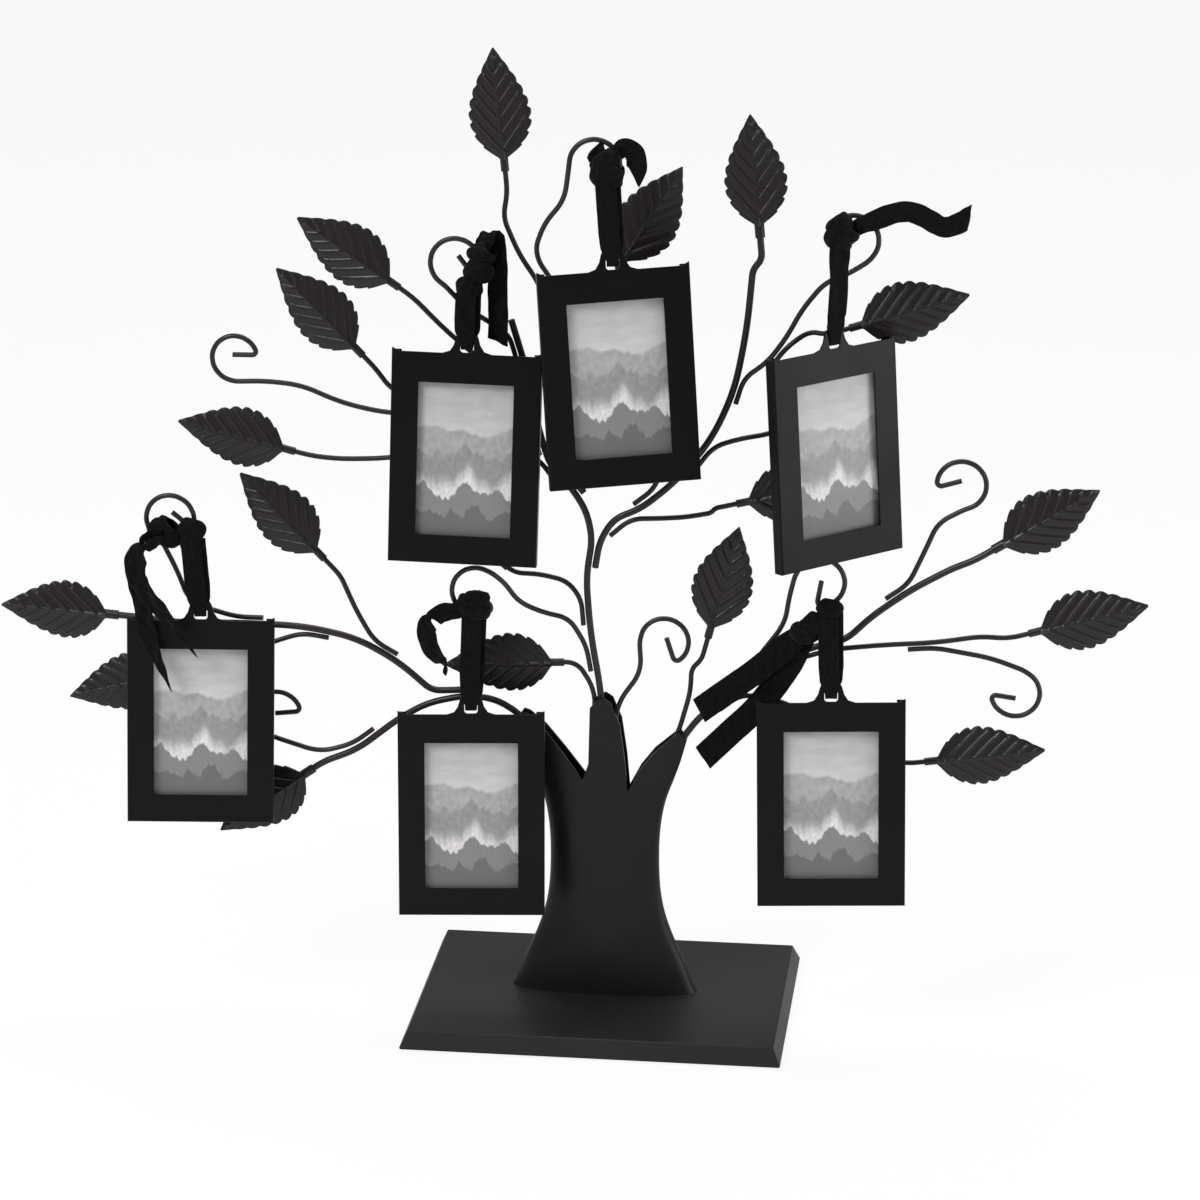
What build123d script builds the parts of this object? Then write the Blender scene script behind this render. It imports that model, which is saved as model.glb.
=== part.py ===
from build123d import *
import math
import os

os.makedirs("parts", exist_ok=True)

# All lengths are in millimetres. The origin is the middle of the underside of the base,
# +X is the right of the tree, +Y its back and +Z is up.

# Base board and its felt
pad_thickness = 1.0
pad_inset = 6.0
board_width = 183.0
board_depth = 134.0
board_thickness = 9.0
board_bevel = 4.0
board_edge_radius = 0.8

# Screws that hold the trunk, and the foot plate that they enter
screw_diameter = 4.0
screw_head_diameter = 8.0
screw_head_height = 2.6
screw_spacing = 52.0
screw_clearance = 0.2
screw_end_gap = 0.6
foot_plate_thickness = 2.0
foot_boss_diameter = 8.0
foot_boss_height = 4.0
foot_gap = 0.4

# Trunk of two sheet shells
trunk_height = 151.0
trunk_half_width = 45.3
trunk_bulge = 10.5
trunk_sheet = 1.2
seam_gap = 0.2
trunk_height_shares = [0.0, 0.09, 0.18, 0.30, 0.43, 0.55, 0.66, 0.78, 0.90, 1.0]
trunk_width_shares = [1.0, 0.875, 0.75, 0.625, 0.585, 0.595, 0.66, 0.83, 1.03, 1.20]
trunk_bulge_shares = [1.0, 0.95, 0.90, 0.84, 0.78, 0.72, 0.66, 0.60, 0.55, 0.50]
section_side_share = 0.62
section_front_share = 0.55
prong_outline_shares = [
    (0.68, 0.675), (0.81, 0.79), (0.875, 0.862), (0.80, 0.89), (0.735, 0.877), (0.525, 0.82),
    (0.375, 0.76), (0.256, 0.69), (0.225, 0.80), (0.17, 0.916), (0.075, 0.985), (0.0, 1.0),
    (-0.075, 0.992), (-0.148, 0.965), (-0.162, 0.78), (-0.223, 0.725), (-0.43, 0.81),
    (-0.635, 0.888), (-0.80, 0.932), (-0.865, 0.94), (-0.93, 0.915), (-0.80, 0.79), (-0.68, 0.675)]
trim_width_share = 1.4

# Wires of the crown
limb_diameter = 3.2
twig_diameter = 2.4
weld_gap = 0.3
lap_run = 13.0
crown_spread = 350.0
frame_room_share = 1.5
hook_reach = 18.0
curl_radius = 12.0
curl_step_angle = 33.0
bend_share = 0.45
stem_lead_share = 2.1

# Leaves
leaf_length = 51.0
leaf_width = 28.0
leaf_sheet = 0.7
leaf_tooth_count = 9
leaf_vein_count = 6
leaf_fold_angle = 11.0
leaf_vein_angle = 42.0
leaf_tab_length = 6.0
leaf_tab_sheet = 0.6
leaf_tab_gap = 0.1
leaf_rib_diameter = 1.6
leaf_vein_width = 0.9
leaf_vein_height = 0.35

# Hanging frames
frame_width = 70.0
frame_height = 100.0
crown_span = crown_spread + frame_height * frame_room_share
frame_depth = 6.0
frame_sheet = 1.0
frame_lip = 4.0
frame_lean_angle = -4.0
frame_edge_radius = 0.7
window_width = 44.6
window_height = 72.5
window_top_border = 14.0
ear_width = 3.5
ear_height = 1.8
tab_height = 9.5
tab_base_width = 23.0
tab_top_width = 10.4
tab_hole_width = 6.4
tab_hole_height = 5.6
tab_hole_lift = 0.5
tab_hole_round = 1.6

# What the frames hold
insert_side_gap = 0.5
insert_foot_gap = 0.3
insert_top_gap = 3.0
cover_setback = 1.6
cover_thickness = 0.5
print_width = 50.8
print_height = 76.2
print_thickness = 0.3
card_thickness = 1.4
sheet_gap = 0.05

# Ribbons
ribbon_width = 9.6
ribbon_thickness = 0.6
ribbon_gap = 0.45
ribbon_flare_height = 12.0
ribbon_side_gap = 1.2
knot_gap = 0.4
knot_width = 12.0
knot_depth = 9.5
knot_height = 13.0
knot_round_share = 0.24
knot_set_share = 0.22
wire_tunnel_gap = 0.5
ring_radius_share = 0.965
slot_width = 7.0
tail_width_share = 0.9
swing_angle = 10.0

board_top = pad_thickness + board_thickness
trunk_top = board_top + trunk_height
upward = Vector(0, 0, 1)
toward_viewer = Vector(0, -1, 0)


def save(name, solids):
    """Write one sub-part, made of one or more separate solids."""
    shape = solids[0] if len(solids) == 1 else Compound(children=solids)
    export_step(shape, f"parts/{name}.step")


def one_solid(shape):
    """Return the largest solid of a shape."""
    return max(shape.solids(), key=lambda solid: solid.volume)


def crown_point(x_share, z_share, forward=0.0):
    """Place a point of the crown from shares of its span, and how far it stands forward."""
    return Vector(x_share * crown_span, -forward, trunk_top + z_share * crown_span)


def trunk_point(x_share, z_share):
    """Place a point inside the trunk from shares of its half width and height."""
    return Vector(x_share * trunk_half_width, 0, board_top + z_share * trunk_height)


def crown_points(point_shares):
    """Place a list of crown points, whose third value is a share of the hook's reach."""
    placed = []
    for shares in point_shares:
        forward = shares[2] * hook_reach if len(shares) == 3 else 0.0
        placed.append(crown_point(shares[0], shares[1], forward))
    return placed


def bend_radius(before, corner, after):
    """Return the radius of a bend that uses the same share of both its runs."""
    run_in = corner - before
    run_out = after - corner
    half_turn = math.radians(run_in.get_angle(run_out)) / 2
    return bend_share * min(run_in.length, run_out.length) / math.tan(half_turn)


def wire_path(points):
    """Join points by straight runs and tangent bends."""
    corners = range(1, len(points) - 1)
    radii = [bend_radius(points[i - 1], points[i], points[i + 1]) for i in corners]
    return FilletPolyline(*points, radius=radii)


def round_wire(path, diameter):
    """Sweep a round wire along a path."""
    section = Plane(origin=path @ 0, z_dir=path % 0) * Circle(diameter / 2)
    return one_solid(sweep(section, path=path))


def lap_points(parent, share, side, heading, parent_diameter, own_diameter):
    """Return both ends of a twig's root, which lies beside its parent wire."""
    along = (parent % share) * heading
    across = along.cross(Vector(0, 1, 0)).normalized()
    if across.dot(side) < 0:
        across = across * -1
    reach_share = lap_run / 2 / parent.length
    ends = [parent @ max(share - reach_share, 0), parent @ min(share + reach_share, 1)]
    rise = max(0, *[(end - (parent @ share)).dot(across) for end in ends])
    offset = (parent_diameter + own_diameter) / 2 + weld_gap + rise
    middle = (parent @ share) + across * offset
    return [middle - along * (lap_run / 2), middle + along * (lap_run / 2)]


def curl_points(centre, start_angle, turn_angle, bar_tip, radius_share=1.0):
    """Return points round an open ring, and the end bar that points into it."""
    count = max(2, round(abs(turn_angle) / curl_step_angle))
    radius = curl_radius * radius_share
    points = []
    for i in range(count + 1):
        angle = math.radians(start_angle + turn_angle * i / count)
        points.append(centre + Vector(radius * math.cos(angle), 0, radius * math.sin(angle)))
    return points + [centre + Vector(bar_tip[0], 0, bar_tip[1]) * curl_radius]


# Base
def make_pad():
    sheet = Rectangle(board_width - 2 * pad_inset, board_depth - 2 * pad_inset)
    return one_solid(extrude(sheet, amount=pad_thickness))


def screw_places():
    return [Vector(side * screw_spacing / 2, 0, 0) for side in (-1, 1)]


def make_board():
    lower = Pos(0, 0, pad_thickness) * Rectangle(board_width, board_depth)
    upper = Pos(0, 0, board_top) * Rectangle(board_width - 2 * board_bevel, board_depth - 2 * board_bevel)
    board = loft([lower.face(), upper.face()])
    board = fillet(board.edges(), radius=board_edge_radius)
    hole_radius = screw_diameter / 2 + screw_clearance
    pocket_radius = screw_head_diameter / 2 + screw_clearance
    pocket_depth = screw_head_height + 2 * screw_clearance
    for place in screw_places():
        shaft = Pos(place.X, 0, pad_thickness + board_thickness / 2) * Cylinder(hole_radius, board_thickness)
        pocket = Pos(place.X, 0, pad_thickness + pocket_depth / 2) * Cylinder(pocket_radius, pocket_depth)
        board = board - shaft - pocket
    return one_solid(board)


def make_screws():
    screws = []
    head_foot = pad_thickness + screw_clearance
    shank_top = board_top + foot_plate_thickness + foot_boss_height - screw_end_gap
    for place in screw_places():
        head = Pos(place.X, 0, head_foot + screw_head_height / 2) * Cylinder(
            screw_head_diameter / 2, screw_head_height)
        shank = Pos(place.X, 0, (head_foot + shank_top) / 2) * Cylinder(
            screw_diameter / 2, shank_top - head_foot)
        screws.append(one_solid(head + shank))
    return screws


# Trunk
def trunk_section(half_width, half_depth, height):
    """Make a closed trunk section, flat in the middle and curved back at its sides."""
    curves = []
    for x_side, y_side in ((1, 1), (-1, 1), (-1, -1), (1, -1)):
        points = [(half_width * x_side, 0, height),
                  (half_width * x_side, section_side_share * half_depth * y_side, height),
                  (section_front_share * half_width * x_side, half_depth * y_side, height),
                  (0, half_depth * y_side, height)]
        curves.append(Bezier(*points))
    return Face(Wire([curve.edge() for curve in curves]))


def trunk_loft(inset):
    faces = []
    for i, height_share in enumerate(trunk_height_shares):
        half_width = trunk_half_width * trunk_width_shares[i] - inset
        half_depth = trunk_bulge * trunk_bulge_shares[i] - inset
        faces.append(trunk_section(half_width, half_depth, board_top + trunk_height * height_share))
    return loft(faces)


def prong_cutter():
    """Make the prism that keeps the trunk's foot whole and its top in three prongs."""
    outline = [(x * trunk_half_width, board_top + z * trunk_height) for x, z in prong_outline_shares]
    side = trim_width_share * trunk_half_width
    shoulder = outline[0][1]
    points = [Vector(side, 0, 0), Vector(side, 0, shoulder)]
    points += [Vector(x, 0, z) for x, z in outline]
    points += [Vector(-side, 0, shoulder), Vector(-side, 0, 0)]
    face = Face(Wire(Polyline(*points, close=True).edges()))
    return extrude(face, amount=trunk_half_width, dir=(0, 1, 0), both=True)


def make_trunk_shells():
    hollow = trunk_loft(0.0) - trunk_loft(trunk_sheet)
    pronged = hollow & prong_cutter()
    reach = trim_width_share * trunk_half_width
    front_box = Pos(0, -reach - seam_gap / 2, board_top + trunk_height / 2) * Box(
        2 * reach, 2 * reach, 2 * trunk_height)
    rear_box = Pos(0, reach + seam_gap / 2, board_top + trunk_height / 2) * Box(
        2 * reach, 2 * reach, 2 * trunk_height)
    return one_solid(pronged & front_box), one_solid(pronged & rear_box)


def make_foot_plate():
    lower_inset = trunk_sheet + foot_gap
    half_width = trunk_half_width - lower_inset
    half_depth = trunk_bulge - lower_inset
    narrowing = (trunk_half_width * (1 - trunk_width_shares[1]) * foot_plate_thickness
                 / (trunk_height * trunk_height_shares[1]))
    section = trunk_section(half_width - narrowing, half_depth - foot_gap, board_top)
    plate = extrude(section, amount=foot_plate_thickness, dir=(0, 0, 1))
    for place in screw_places():
        boss = Pos(place.X, 0, board_top + foot_plate_thickness + foot_boss_height / 2) * Cylinder(
            foot_boss_diameter / 2, foot_boss_height)
        plate = plate + boss
    for place in screw_places():
        bore = Pos(place.X, 0, board_top + trunk_height / 4) * Cylinder(
            screw_diameter / 2 + screw_clearance, trunk_height / 2)
        plate = plate - bore
    return one_solid(plate)


# Leaves
def leaf_half_width(share):
    """Return the half width of the blade at a share of its length."""
    return leaf_width / 2 * math.sin(math.pi * share ** 0.72)


def leaf_half_outline():
    """Return the toothed edge of half a blade, from its base to its tip."""
    points = [(0, 0), (0, leaf_rib_diameter)]
    for i in range(leaf_tooth_count):
        valley = (i + 0.12) / leaf_tooth_count
        crest = (i + 1.02) / (leaf_tooth_count + 0.3)
        points.append((valley * leaf_length, leaf_half_width(valley) * 0.90 + leaf_sheet / 2))
        points.append((crest * leaf_length, leaf_half_width(crest) + leaf_sheet / 2))
    points.append((leaf_length, 0))
    return points


def leaf_half():
    """Make half a blade, flat, with its raised veins."""
    face = Face(Wire(Polyline(*[(x, y, 0) for x, y in leaf_half_outline()], close=True).edges()))
    half = extrude(face, amount=leaf_sheet, dir=(0, 0, 1))
    for i in range(leaf_vein_count):
        share = (i + 0.55) / (leaf_vein_count + 1.2)
        reach = leaf_half_width(min(share + 0.1, 0.9)) * 0.72 / math.sin(math.radians(leaf_vein_angle))
        bar = Pos(reach / 2, 0, leaf_sheet + leaf_vein_height / 2) * Box(
            reach, leaf_vein_width, leaf_vein_height)
        half = half + Pos(share * leaf_length, 0, 0) * Rot(0, 0, leaf_vein_angle) * bar
    return half


def make_leaf(stem_diameter):
    """Make one leaf, along +X from its base, with its tab over the end of a stem on the X axis."""
    lift = stem_diameter / 2 + leaf_tab_gap
    left = Pos(0, 0, lift) * Rot(-leaf_fold_angle, 0, 0) * leaf_half()
    right = mirror(left, about=Plane.XZ)
    rib = Cone(leaf_rib_diameter / 2, leaf_rib_diameter / 4, leaf_length)
    rib = Pos(leaf_length / 2, 0, lift + leaf_sheet / 2) * Rot(0, 90, 0) * rib
    outer = lift + leaf_tab_sheet
    tube = Cylinder(outer, leaf_tab_length + leaf_rib_diameter) - Cylinder(lift, leaf_tab_length * 2)
    tube = Pos((leaf_rib_diameter - leaf_tab_length) / 2, 0, 0) * Rot(0, 90, 0) * tube
    tab = tube & Pos(0, 0, outer) * Box(4 * leaf_tab_length, 4 * outer, 2 * outer)
    return one_solid(left + right + rib + tab)


thin_leaf = make_leaf(twig_diameter)
thick_leaf = make_leaf(limb_diameter)


def place_leaf(leaf, path, tip):
    """Put a leaf on the end of a stem, pointing at its tip and facing the viewer."""
    base = path @ 1
    direction = (tip - base).normalized()
    facing = (toward_viewer - direction * toward_viewer.dot(direction)).normalized()
    return leaf.moved(Plane(origin=base, x_dir=direction, z_dir=facing).location)


def stem_path(points, tip):
    """Join the points of a stem, whose last run points at the tip of its leaf and ends a leaf short of it."""
    direction = (tip - points[-1]).normalized()
    base = tip - direction * leaf_length
    lead_in = points[-1] - direction * (leaf_tab_length * stem_lead_share)
    return wire_path(points[:-1] + [lead_in, base])


def sprig(points, tip_shares):
    """Make a stem with the leaf on its end."""
    tip = crown_points([tip_shares])[0]
    path = stem_path(points, tip)
    return [round_wire(path, twig_diameter), place_leaf(thin_leaf, path, tip)]


def limb_lap(parent, share, side, heading):
    return lap_points(parent, share, side, heading, limb_diameter, twig_diameter)


def twig_lap(parent, share, side, heading):
    return lap_points(parent, share, side, heading, twig_diameter, twig_diameter)


left = Vector(-1, 0, 0)
right = Vector(1, 0, 0)
above = Vector(0, 0, 1)
below = Vector(0, 0, -1)

# Limbs, as shares of the trunk inside it and of the crown's span outside
middle_root_shares = [(0.0, 0.72)]
middle_shares = [
    (-0.003, 0.0), (-0.014, 0.062), (-0.018, 0.118), (-0.012, 0.156), (-0.018, 0.184), (-0.034, 0.208),
    (-0.052, 0.226), (-0.063, 0.262), (-0.072, 0.312), (-0.088, 0.366)]
right_lower_root_shares = [(0.52, 0.63), (0.645, 0.77)]
right_lower_shares = [
    (0.074, -0.042), (0.091, -0.018), (0.128, 0.012), (0.165, 0.041), (0.200, 0.057), (0.229, 0.064),
    (0.252, 0.088), (0.290, 0.117), (0.328, 0.139), (0.369, 0.161)]
left_lower_root_shares = [(-0.48, 0.67), (-0.62, 0.80)]
left_lower_shares = [
    (-0.080, -0.024), (-0.106, -0.008), (-0.136, -0.006), (-0.172, -0.015), (-0.200, -0.032),
    (-0.242, -0.066), (-0.295, -0.094)]
right_upper_shares = [
    (0.008, 0.176), (0.034, 0.187), (0.066, 0.214), (0.100, 0.256), (0.121, 0.304), (0.132, 0.362),
    (0.137, 0.420), (0.143, 0.455)]
left_upper_shares = [
    (-0.168, -0.002), (-0.200, 0.026), (-0.240, 0.048), (-0.290, 0.058), (-0.350, 0.059),
    (-0.415, 0.057), (-0.468, 0.062)]
top_shares = [(-0.042, 0.262), (-0.033, 0.312), (-0.046, 0.380)]

right_upper_tip = crown_point(0.133, 0.564)
right_lower_tip = crown_point(0.461, 0.220)
left_upper_tip = crown_point(-0.586, 0.070)
left_lower_tip = crown_point(-0.377, -0.153)
low_leaf_tip = crown_point(0.510, 0.110)

limb_middle = wire_path([trunk_point(*s) for s in middle_root_shares] + crown_points(middle_shares))
limb_right_lower = stem_path(
    [trunk_point(*s) for s in right_lower_root_shares] + crown_points(right_lower_shares), right_lower_tip)
limb_left_lower = stem_path(
    [trunk_point(*s) for s in left_lower_root_shares] + crown_points(left_lower_shares), left_lower_tip)
limb_right_upper = stem_path(
    lap_points(limb_middle, 0.485, right, 1, limb_diameter, limb_diameter) + crown_points(right_upper_shares),
    right_upper_tip)
limb_left_upper = stem_path(
    lap_points(limb_left_lower, 0.4413, above, 1, limb_diameter, limb_diameter) + crown_points(left_upper_shares),
    left_upper_tip)
limb_top = wire_path(
    lap_points(limb_middle, 0.635, right, 1, limb_diameter, limb_diameter) + crown_points(top_shares))

# Scrolls
scroll_left_upper = wire_path(
    limb_lap(limb_middle, 0.745, left, 1)
    + crown_points([(-0.100, 0.286), (-0.150, 0.274), (-0.206, 0.272), (-0.250, 0.281), (-0.288, 0.297),
                    (-0.322, 0.300)])
    + curl_points(crown_point(-0.351, 0.321), -95, -255, (-0.08, 0.15), 0.94))
scroll_left_lower = wire_path(
    limb_lap(limb_left_lower, 0.7773, above, 1)
    + crown_points([(-0.278, -0.070)])
    + curl_points(crown_point(-0.319, -0.033), -95, -255, (-0.08, 0.05)))
scroll_middle = wire_path(
    [trunk_point(0.095, 0.86)]
    + crown_points([(0.012, -0.008), (0.035, 0.025)])
    + curl_points(crown_point(0.057, 0.056), 180, -245, (0.08, 0.15)))
scroll_right_upper = wire_path(
    limb_lap(limb_right_lower, 0.7525, above, 1)
    + crown_points([(0.302, 0.156), (0.313, 0.183)])
    + curl_points(crown_point(0.334, 0.220), -85, 272, (0.0, 0.18)))
low_leaf_stem = stem_path(
    limb_lap(limb_right_lower, 0.5361, below, 1)
    + crown_points([(0.264, 0.061), (0.313, 0.065), (0.356, 0.073), (0.406, 0.079)]), low_leaf_tip)
scroll_right_lower = wire_path(
    twig_lap(low_leaf_stem, 0.4938, below, 1)
    + crown_points([(0.366, 0.052)])
    + curl_points(crown_point(0.390, 0.018), 70, -245, (0.02, -0.22)))

# Hooks, whose rings stand forward of the crown
hook_paths = {}
hook_centres = {
    1: crown_point(-0.410, 0.172, hook_reach),
    2: crown_point(-0.135, 0.426, hook_reach * 0.9),
    3: crown_point(-0.003, 0.526, hook_reach * 1.56),
    4: crown_point(0.231, 0.458, hook_reach),
    5: crown_point(-0.118, 0.111, hook_reach),
    6: crown_point(0.206, 0.132, hook_reach)}
hook_stem_shares = {
    1: [(-0.400, 0.080, 0.25), (-0.407, 0.118, 0.75)],
    2: [(-0.100, 0.360, 0.15), (-0.128, 0.380, 0.45)],
    3: [(-0.044, 0.402, 0.34), (-0.064, 0.434, 0.6), (-0.052, 0.466, 0.95), (-0.032, 0.490, 1.25)],
    4: [(0.152, 0.334, 0.16), (0.170, 0.360, 0.34), (0.184, 0.388, 0.55), (0.205, 0.416, 0.80),
        (0.228, 0.427, 0.95)],
    5: [(-0.034, 0.077, 0.08), (-0.058, 0.084, 0.28), (-0.080, 0.096, 0.5), (-0.092, 0.118, 0.8)],
    6: [(0.172, 0.082, 0.32), (0.177, 0.114, 0.75)]}
hook_laps = {
    1: limb_lap(limb_left_upper, 0.626, above, 1), 2: limb_lap(limb_middle, 0.94, left, 1),
    3: limb_lap(limb_top, 0.84, right, 1), 4: limb_lap(limb_right_upper, 0.5885, right, 1),
    5: limb_lap(limb_middle, 0.262, left, 1), 6: limb_lap(limb_right_lower, 0.3295, above, 1)}
hook_curls = {
    1: curl_points(hook_centres[1], -112, -272, (0.08, 0.28)),
    2: curl_points(hook_centres[2], -112, -285, (0.12, 0.30)),
    3: curl_points(hook_centres[3], 190, -268, (0.16, 0.16)),
    4: curl_points(hook_centres[4], -50, 245, (-0.10, 0.0)),
    5: curl_points(hook_centres[5], 52, 262, (0.06, 0.0)),
    6: curl_points(hook_centres[6], 165, -262, (0.06, 0.05))}
for number, stem_shares in hook_stem_shares.items():
    hook_paths[number] = wire_path(hook_laps[number] + crown_points(stem_shares) + hook_curls[number])

# Leaf sprigs, in groups by the limb that bears them
upper_stem_leaf = scroll_left_upper
middle_sprigs = (
    sprig(limb_lap(limb_middle, 0.835, left, 1)
          + crown_points([(-0.104, 0.316), (-0.150, 0.354), (-0.201, 0.399)]), (-0.287, 0.458))
    + sprig(twig_lap(upper_stem_leaf, 0.245, above, 1)
            + crown_points([(-0.203, 0.296), (-0.234, 0.333)]), (-0.308, 0.409))
    + sprig(limb_lap(limb_middle, 0.685, left, 1)
            + crown_points([(-0.092, 0.246), (-0.150, 0.240), (-0.206, 0.228), (-0.253, 0.226), (-0.304, 0.234)]),
            (-0.406, 0.259))
    + sprig(limb_lap(limb_middle, 0.36, left, 1)
            + crown_points([(-0.036, 0.113), (-0.062, 0.119), (-0.106, 0.136)]),
            (-0.178, 0.200))
    + sprig(limb_lap(limb_middle, 0.17, left, 1)
            + crown_points([(-0.052, 0.031)]), (-0.153, 0.026)))
top_sprigs = (
    sprig(limb_lap(limb_top, 0.88, left, 1)
          + crown_points([(-0.062, 0.402), (-0.080, 0.428), (-0.095, 0.463), (-0.093, 0.511)]),
          (-0.103, 0.620))
    + sprig(limb_lap(limb_right_upper, 0.2305, above, 1)
            + crown_points([(0.060, 0.252), (0.052, 0.300), (0.022, 0.345), (0.008, 0.392), (0.019, 0.428)]),
            (0.071, 0.514)))
right_upper_sprigs = (
    sprig(limb_lap(limb_right_upper, 0.1324, below, 1)
          + crown_points([(0.052, 0.178), (0.076, 0.180), (0.100, 0.185), (0.129, 0.196)]), (0.235, 0.222))
    + sprig(limb_lap(limb_right_upper, 0.407, right, 1)
            + crown_points([(0.126, 0.258), (0.176, 0.272, -0.3)]), (0.262, 0.310, -0.8))
    + sprig(twig_lap(hook_paths[4], 0.205, right, 1)
            + crown_points([(0.190, 0.364, 0.1), (0.230, 0.366, -0.25)]), (0.335, 0.398, -0.5))
    + [place_leaf(thick_leaf, limb_right_upper, right_upper_tip)])
left_upper_sprigs = (
    sprig(limb_lap(limb_left_upper, 0.2724, above, 1)
          + crown_points([(-0.239, 0.074), (-0.253, 0.107), (-0.275, 0.132)]), (-0.348, 0.209))
    + sprig(limb_lap(limb_left_upper, 0.454, below, 1)
            + crown_points([(-0.322, 0.041), (-0.360, 0.022), (-0.419, 0.006)]), (-0.522, -0.021))
    + [place_leaf(thick_leaf, limb_left_upper, left_upper_tip)])
left_lower_sprigs = [place_leaf(thick_leaf, limb_left_lower, left_lower_tip)]
right_lower_sprigs = (
    sprig(limb_lap(limb_right_lower, 0.1475, left, 1)
          + crown_points([(0.082, 0.006), (0.083, 0.030), (0.099, 0.064)]), (0.127, 0.172))
    + sprig(limb_lap(limb_right_lower, 0.3098, below, 1)
            + crown_points([(0.176, 0.000), (0.228, -0.040), (0.310, -0.054)]),
            (0.419, -0.037))
    + [round_wire(low_leaf_stem, twig_diameter),
       place_leaf(thin_leaf, low_leaf_stem, low_leaf_tip)]
    + [place_leaf(thick_leaf, limb_right_lower, right_lower_tip)])


# Frames
def box_between(low, high):
    """Make a box from its lowest and highest corners."""
    size = [b - a for a, b in zip(low, high)]
    middle = [(a + b) / 2 for a, b in zip(low, high)]
    return Pos(*middle) * Box(*size)


def plate_outline():
    """Return the front plate's outline, with its ears and its hanging tab."""
    half = frame_width / 2
    base = tab_base_width / 2
    top = tab_top_width / 2
    shoulder = (base - top) * 0.45
    right_side = [(top * 0.8, tab_height), (top, tab_height * 0.8), (top + shoulder * 0.35, tab_height * 0.42),
                  (top + shoulder, tab_height * 0.12), (base, 0), (half - ear_width, 0), (half, ear_height)]
    left_side = [(-x, z) for x, z in reversed(right_side)]
    return left_side + right_side + [(half, -frame_height), (-half, -frame_height)]


def make_frame_shell():
    """Make one folded sheet frame, its front at y = 0 and the top of its plate at z = 0."""
    half = frame_width / 2
    foot = -frame_height
    lip_front = frame_depth - frame_sheet
    outline = Polyline(*[(x, 0, z) for x, z in plate_outline()], close=True)
    plate = extrude(Face(Wire(outline.edges())), amount=frame_sheet, dir=(0, 1, 0))
    hole_outline = RectangleRounded(tab_hole_width, tab_hole_height, tab_hole_round)
    hole_place = Pos(0, 0, tab_hole_lift + tab_hole_height / 2) * Rot(90, 0, 0)
    hole = extrude(hole_place * hole_outline, amount=frame_depth, both=True)
    window_top = -window_top_border
    window = box_between((-window_width / 2, -frame_sheet, window_top - window_height),
                         (window_width / 2, 2 * frame_sheet, window_top))
    shell = plate - hole - window
    for side in (-1, 1):
        outer = side * half
        inner = side * (half - frame_sheet)
        lip_edge = side * (half - frame_lip)
        shell = shell + box_between((min(outer, inner), 0, foot), (max(outer, inner), frame_depth, 0))
        shell = shell + box_between((min(outer, lip_edge), lip_front, foot), (max(outer, lip_edge), frame_depth, 0))
    shell = shell + box_between((-half, 0, foot), (half, frame_depth, foot + frame_sheet))
    shell = shell + box_between((-half, lip_front, foot), (half, frame_depth, foot + frame_lip))
    shell = one_solid(shell)
    front_edges = [edge for edge in shell.edges()
                   if abs(edge.center().Y) < seam_gap and (abs(abs(edge.center().X) - half) < seam_gap
                                                          or abs(edge.center().Z - foot) < seam_gap)]
    return one_solid(fillet(front_edges, radius=frame_edge_radius))


def insert_sheet(width, top, bottom, front, thickness):
    return one_solid(box_between((-width / 2, front, bottom), (width / 2, front + thickness, top)))


def make_cover():
    width = frame_width - 2 * (frame_sheet + insert_side_gap)
    bottom = -frame_height + frame_sheet + insert_foot_gap
    return insert_sheet(width, -insert_top_gap, bottom, frame_sheet + cover_setback, cover_thickness)


def make_print_and_card():
    width = frame_width - 2 * (frame_sheet + insert_side_gap)
    bottom = -frame_height + frame_sheet + insert_foot_gap
    print_front = frame_sheet + cover_setback + cover_thickness + sheet_gap
    print_middle = -window_top_border - window_height / 2
    picture = insert_sheet(print_width, print_middle + print_height / 2, print_middle - print_height / 2,
                           print_front, print_thickness)
    card = insert_sheet(width, -insert_top_gap, bottom, print_front + print_thickness + sheet_gap, card_thickness)
    return [picture, card]


def make_loop(top_offset, length):
    """Make the ribbon loop through the tab's hole, up to a top that may stand to one side."""
    hole_top = tab_hole_lift + tab_hole_height
    link_top = hole_top - ribbon_gap
    link_foot = link_top - ribbon_thickness
    narrow = tab_hole_width / 2 - ribbon_side_gap
    wide = ribbon_width / 2
    flare = link_foot + ribbon_flare_height
    drift = top_offset * ribbon_flare_height / length
    outline = [(-narrow, link_foot), (narrow, link_foot), (wide + drift, flare),
               (wide + top_offset, link_foot + length), (-wide + top_offset, link_foot + length),
               (-wide + drift, flare)]
    front = -ribbon_gap - ribbon_thickness
    rear = frame_sheet + ribbon_gap
    face = Face(Wire(Polyline(*[(x, front, z) for x, z in outline], close=True).edges()))
    strand = extrude(face, amount=ribbon_thickness, dir=(0, 1, 0))
    back_strand = Pos(0, rear - front, 0) * strand
    link = box_between((-narrow, front, link_foot), (narrow, rear + ribbon_thickness, link_top))
    return one_solid(strand + back_strand + link)


def knot_lump(centre, width_share=1.0, height_share=1.0):
    lump = Box(knot_width * width_share, knot_depth, knot_height * height_share)
    lump = fillet(lump.edges(), radius=knot_round_share * knot_depth)
    return Pos(centre.X, centre.Y, centre.Z) * lump


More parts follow.
